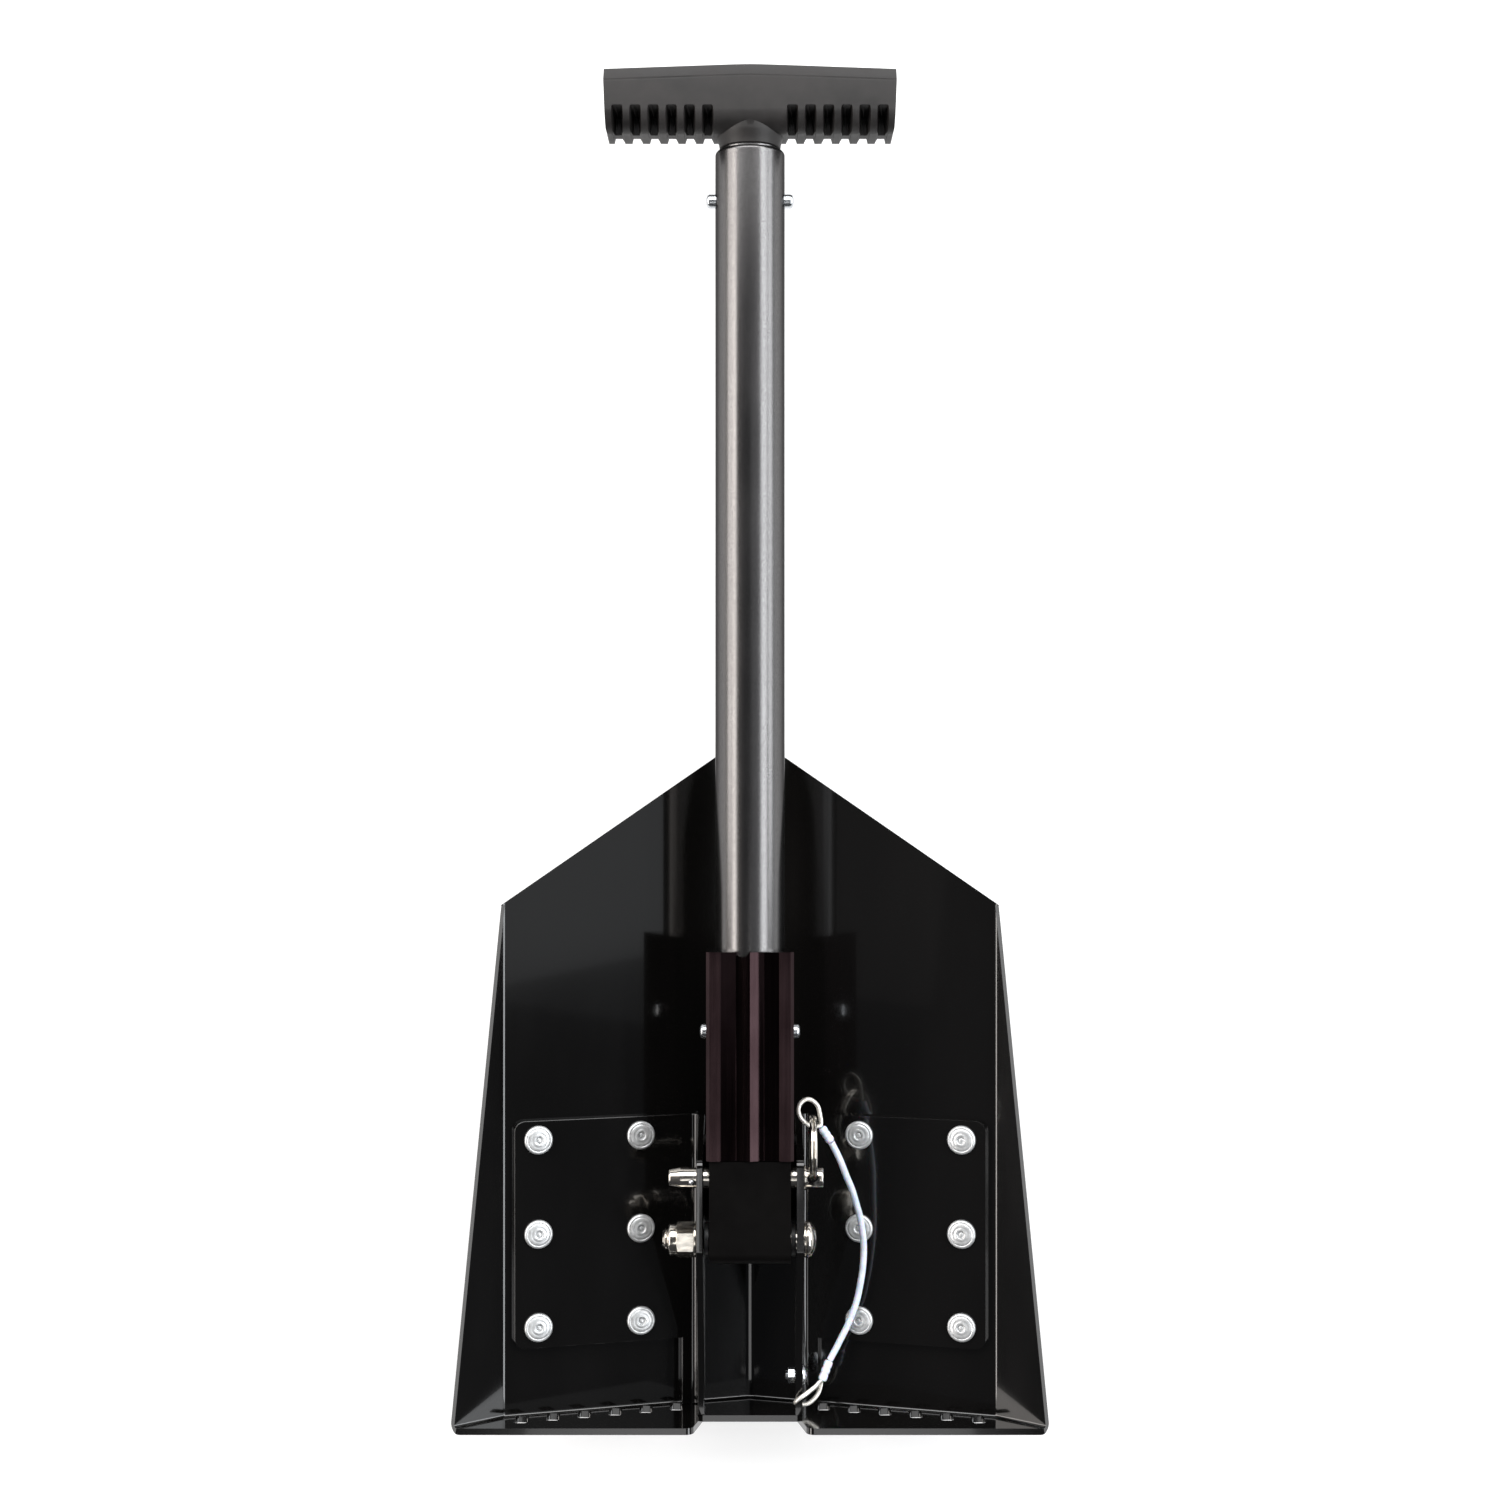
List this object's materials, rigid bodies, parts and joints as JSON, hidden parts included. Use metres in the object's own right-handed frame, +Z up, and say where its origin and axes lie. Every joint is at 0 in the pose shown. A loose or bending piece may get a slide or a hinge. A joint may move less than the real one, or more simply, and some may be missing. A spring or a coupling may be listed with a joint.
{
  "type": "folding avalanche shovel",
  "caption": "Folding snow shovel, stowed: bent-sheet blade with a riveted hinge bracket, telescoping shaft with T-grip, lock pin on a wire lanyard.",
  "frame": {"origin": "centre of the shovel's outline in plan, on the surface that the back of the blade lies on", "axes": "+X to the right, +Y along the shaft towards the T-grip, +Z up out of the scoop"},
  "size_m": [0.2742, 0.626, 0.0722],
  "materials": {
    "powder_coat": "high gloss black powder coat on aluminium sheet",
    "satin_tube": "bead-blasted charcoal anodised",
    "anodised_sleeve": "purple-black anodised, brushed lengthwise",
    "grip_plastic": "fine-grained moulded nylon",
    "matte_black": "matte black anodised aluminium",
    "nickel": "nickel plate",
    "rivet_aluminium": "bright",
    "steel": "zinc plated",
    "spring_steel": "blued",
    "coated_cable": "translucent white nylon",
    "wire": "stranded wire",
    "washer_nylon": "nylon"
  },
  "bodies": {
    "blade": {"blade_scoop": "powder_coat", "bracket_left": "powder_coat", "bracket_right": "powder_coat", "rivet_left_1": "rivet_aluminium", "rivet_left_2": "rivet_aluminium", "rivet_left_3": "rivet_aluminium", "rivet_left_4": "rivet_aluminium", "rivet_left_5": "rivet_aluminium", "rivet_left_6": "rivet_aluminium", "rivet_right_1": "rivet_aluminium", "rivet_right_2": "rivet_aluminium", "rivet_right_3": "rivet_aluminium", "rivet_right_4": "rivet_aluminium", "rivet_right_5": "rivet_aluminium", "rivet_right_6": "rivet_aluminium", "pivot_bolt": "nickel", "pivot_nut": "nickel", "pivot_washer_left": "nickel", "spacer_washer_left": "washer_nylon", "pivot_washer_right": "nickel", "spacer_washer_right": "washer_nylon", "rib_screw": "steel", "rib_nut": "steel", "lanyard_cable": "coated_cable", "lanyard_eye_upper": "wire", "lanyard_eye_lower": "wire", "lanyard_ferrule_upper": "coated_cable", "lanyard_ferrule_lower": "coated_cable"},
    "shaft": {"sleeve": "anodised_sleeve", "pivot_block": "matte_black", "cross_pin": "matte_black", "main_tube": "satin_tube", "lower_spring": "spring_steel"},
    "handle": {"inner_tube": "satin_tube", "top_spring": "spring_steel", "hidden_spring": "spring_steel", "t_grip": "grip_plastic", "grip_pin": "steel"},
    "lock_pin": {"lock_pin": "nickel", "detent_spring": "spring_steel"},
    "pull_ring": {"pull_ring": "nickel"},
    "detent_ball": {"detent_ball": "steel"},
    "top_button_left": {"top_button_left": "steel"},
    "top_button_right": {"top_button_right": "steel"},
    "hidden_button_left": {"hidden_button_left": "steel"},
    "hidden_button_right": {"hidden_button_right": "steel"},
    "lower_button_left": {"lower_button_left": "steel"},
    "lower_button_right": {"lower_button_right": "steel"}
  },
  "joints": [
    {"name": "fold", "type": "hinge", "parent": "blade", "child": "shaft", "pos_m": [0, -0.2236, 0.05367], "axis": [1, 0, 0], "range_deg": [0, 180]},
    {"name": "extension", "type": "slide", "parent": "shaft", "child": "handle", "axis": [0, 1, 0], "range_m": [0, 0.315]},
    {"name": "pin_pull", "type": "slide", "parent": "blade", "child": "lock_pin", "axis": [1, 0, 0], "range_m": [0, 0.063], "deforming": ["lanyard_cable", "lanyard_eye_upper", "lanyard_eye_lower", "lanyard_ferrule_upper", "lanyard_ferrule_lower"]},
    {"name": "ring_swing", "type": "hinge", "parent": "lock_pin", "child": "pull_ring", "pos_m": [0.0288, -0.1954, 0.05367], "axis": [0, 0, -1], "range_deg": [0, 90], "deforming": ["lanyard_cable", "lanyard_eye_upper", "lanyard_eye_lower", "lanyard_ferrule_upper", "lanyard_ferrule_lower"]},
    {"name": "detent_press", "type": "slide", "parent": "lock_pin", "child": "detent_ball", "axis": [0, 0.342, -0.9397], "range_m": [0, 0.001], "stiffness_N_per_m": 2000, "deforming": ["detent_spring"]},
    {"name": "top_button_left_press", "type": "slide", "parent": "handle", "child": "top_button_left", "axis": [1, 0, 0], "range_m": [0, 0.0062], "stiffness_N_per_m": 1500, "deforming": ["top_spring"]},
    {"name": "top_button_right_press", "type": "slide", "parent": "handle", "child": "top_button_right", "axis": [-1, 0, 0], "range_m": [0, 0.0062], "stiffness_N_per_m": 1500, "deforming": ["top_spring"]},
    {"name": "hidden_button_left_press", "type": "slide", "parent": "handle", "child": "hidden_button_left", "axis": [1, 0, 0], "range_m": [0, 0.0015], "stiffness_N_per_m": 1500, "deforming": ["hidden_spring"]},
    {"name": "hidden_button_right_press", "type": "slide", "parent": "handle", "child": "hidden_button_right", "axis": [-1, 0, 0], "range_m": [0, 0.0015], "stiffness_N_per_m": 1500, "deforming": ["hidden_spring"]},
    {"name": "lower_button_left_press", "type": "slide", "parent": "shaft", "child": "lower_button_left", "axis": [1, 0, 0], "range_m": [0, 0.0072], "stiffness_N_per_m": 1500, "deforming": ["lower_spring"]},
    {"name": "lower_button_right_press", "type": "slide", "parent": "shaft", "child": "lower_button_right", "axis": [-1, 0, 0], "range_m": [0, 0.0072], "stiffness_N_per_m": 1500, "deforming": ["lower_spring"]}
  ]
}
